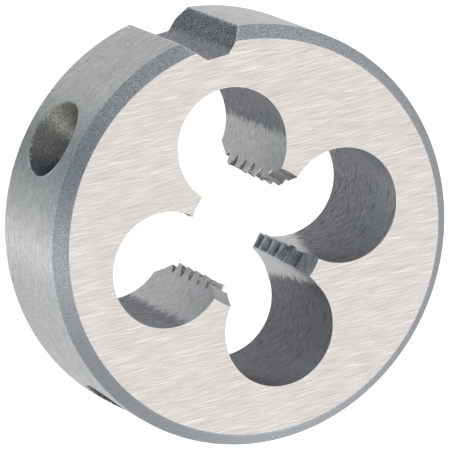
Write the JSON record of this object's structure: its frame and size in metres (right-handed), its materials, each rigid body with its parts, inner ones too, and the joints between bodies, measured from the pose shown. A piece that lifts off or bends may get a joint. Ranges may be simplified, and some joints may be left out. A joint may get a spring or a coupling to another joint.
{
  "type": "threading die",
  "caption": "Round steel die that cuts a screw thread on a rod, with threaded lands between chip holes, lead-in cones, an adjusting groove and set screw recesses in the rim.",
  "frame": {"origin": "centre of the thread's axis on the back face, on which the die lies", "axes": "+Z along the thread's axis towards the front face, +Y from the axis through the adjusting groove"},
  "size_m": [0.025, 0.0249, 0.009],
  "materials": {
    "tool_steel": "ground faces with fine straight grinding lines, satin ground rim, darker matte chamfers, groove and recesses, dark cut chip holes and thread"
  },
  "bodies": {
    "root": {"threading_die": "tool_steel"}
  },
  "joints": []
}
